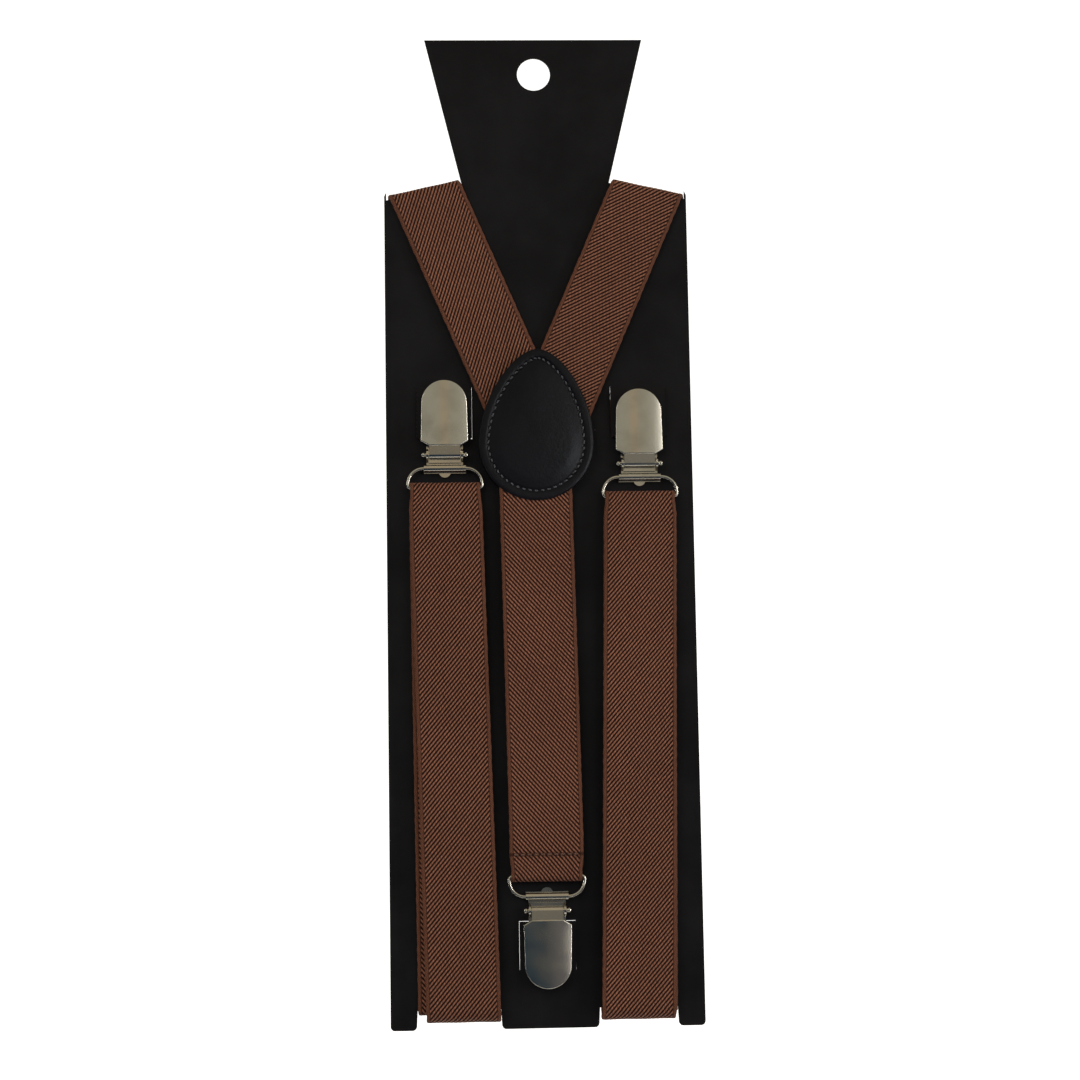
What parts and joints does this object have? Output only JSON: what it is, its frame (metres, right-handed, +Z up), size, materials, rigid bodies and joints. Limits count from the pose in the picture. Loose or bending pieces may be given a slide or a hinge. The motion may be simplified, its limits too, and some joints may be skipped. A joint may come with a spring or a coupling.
{
  "type": "suspenders",
  "caption": "Y-back elastic suspenders with lever clips and a leather back joint, stored threaded round a flat hanging card.",
  "frame": {"origin": "centre of the card's peg hole, at the card's mid-plane", "axes": "+X to the right, +Y to the back, +Z up along the card; the card's front faces -Y"},
  "size_m": [0.106, 0.0122, 0.3433],
  "materials": {
    "card": "satin black coated board",
    "webbing": "brown twill elastic webbing",
    "leather": "smooth black leather, semi-gloss",
    "black_thread": "waxed thread",
    "brown_thread": "thread",
    "clip_metal": "bright nickel plate",
    "adjuster_metal": "bright nickel plate"
  },
  "bodies": {
    "card": {"display_card": "card", "left_front_strap": "webbing", "right_front_strap": "webbing", "back_strap": "webbing", "patch_back": "leather", "patch_front": "leather", "patch_stitching": "black_thread"},
    "left_clip": {"left_clip_back_jaw": "clip_metal", "left_clip_pivot_pin": "clip_metal"},
    "left_lever": {"left_clip_lever": "clip_metal"},
    "left_front_jaw": {"left_clip_front_jaw": "clip_metal"},
    "left_wire_loop": {"left_clip_wire_loop": "clip_metal"},
    "right_clip": {"right_clip_back_jaw": "clip_metal", "right_clip_pivot_pin": "clip_metal"},
    "right_lever": {"right_clip_lever": "clip_metal"},
    "right_front_jaw": {"right_clip_front_jaw": "clip_metal"},
    "right_wire_loop": {"right_clip_wire_loop": "clip_metal"},
    "back_clip": {"back_clip_back_jaw": "clip_metal", "back_clip_pivot_pin": "clip_metal", "back_strap_stitching": "brown_thread"},
    "back_lever": {"back_clip_lever": "clip_metal"},
    "back_front_jaw": {"back_clip_front_jaw": "clip_metal"},
    "back_wire_loop": {"back_clip_wire_loop": "clip_metal"},
    "left_adjuster": {"left_adjuster": "adjuster_metal", "left_strap_end_stitching": "brown_thread"},
    "right_adjuster": {"right_adjuster": "adjuster_metal", "right_strap_end_stitching": "brown_thread"}
  },
  "joints": [
    {"name": "left_clip_release", "type": "slide", "parent": "card", "child": "left_clip", "axis": [0, 0, -1], "range_m": [0, 0.016], "deforming": ["left_front_strap"]},
    {"name": "left_lever_swing", "type": "hinge", "parent": "left_clip", "child": "left_lever", "pos_m": [-0.0328, -0.0033, -0.136], "axis": [1, 0, 0], "range_deg": [0, 105]},
    {"name": "left_jaw_rock", "type": "hinge", "parent": "left_clip", "child": "left_front_jaw", "pos_m": [-0.0328, -0.00147, -0.1385], "axis": [1, 0, 0], "range_deg": [0, 6.3]},
    {"name": "left_loop_swing", "type": "hinge", "parent": "left_clip", "child": "left_wire_loop", "pos_m": [-0.0328, -0.00245, -0.1406], "axis": [-1, 0, 0], "range_deg": [0, 60], "stiffness_Nm_per_rad": 0.0005, "deforming": ["left_front_strap"]},
    {"name": "right_clip_release", "type": "slide", "parent": "card", "child": "right_clip", "axis": [0, 0, -1], "range_m": [0, 0.016], "deforming": ["right_front_strap"]},
    {"name": "right_lever_swing", "type": "hinge", "parent": "right_clip", "child": "right_lever", "pos_m": [0.0344, -0.0033, -0.1396], "axis": [1, 0, 0], "range_deg": [0, 105]},
    {"name": "right_jaw_rock", "type": "hinge", "parent": "right_clip", "child": "right_front_jaw", "pos_m": [0.0344, -0.00147, -0.1421], "axis": [1, 0, 0], "range_deg": [0, 6.3]},
    {"name": "right_loop_swing", "type": "hinge", "parent": "right_clip", "child": "right_wire_loop", "pos_m": [0.0344, -0.00245, -0.1442], "axis": [-1, 0, 0], "range_deg": [0, 60], "stiffness_Nm_per_rad": 0.0005, "deforming": ["right_front_strap"]},
    {"name": "back_clip_release", "type": "slide", "parent": "card", "child": "back_clip", "axis": [0, 0, 1], "range_m": [0, 0.016], "deforming": ["back_strap"]},
    {"name": "back_lever_swing", "type": "hinge", "parent": "back_clip", "child": "back_lever", "pos_m": [0.0001, -0.0033, -0.2914], "axis": [-1, 0, 0], "range_deg": [0, 105]},
    {"name": "back_jaw_rock", "type": "hinge", "parent": "back_clip", "child": "back_front_jaw", "pos_m": [0.0001, -0.00147, -0.2889], "axis": [-1, 0, 0], "range_deg": [0, 6.3]},
    {"name": "back_loop_swing", "type": "hinge", "parent": "back_clip", "child": "back_wire_loop", "pos_m": [0.0001, -0.00245, -0.2868], "axis": [1, 0, 0], "range_deg": [0, 60], "stiffness_Nm_per_rad": 0.0005, "deforming": ["back_strap"]},
    {"name": "left_adjuster_slide", "type": "slide", "parent": "card", "child": "left_adjuster", "axis": [-0.037, 0, 0.9993], "range_m": [-0.05, 0.08], "deforming": ["left_front_strap"]},
    {"name": "right_adjuster_slide", "type": "slide", "parent": "card", "child": "right_adjuster", "axis": [0.0313, 0, 0.9995], "range_m": [-0.05, 0.08], "deforming": ["right_front_strap"]}
  ],
  "couplings": [
    {"joint": "left_jaw_rock", "follows": "left_lever_swing", "ratio": 0.06},
    {"joint": "right_jaw_rock", "follows": "right_lever_swing", "ratio": 0.06},
    {"joint": "back_jaw_rock", "follows": "back_lever_swing", "ratio": 0.06}
  ]
}
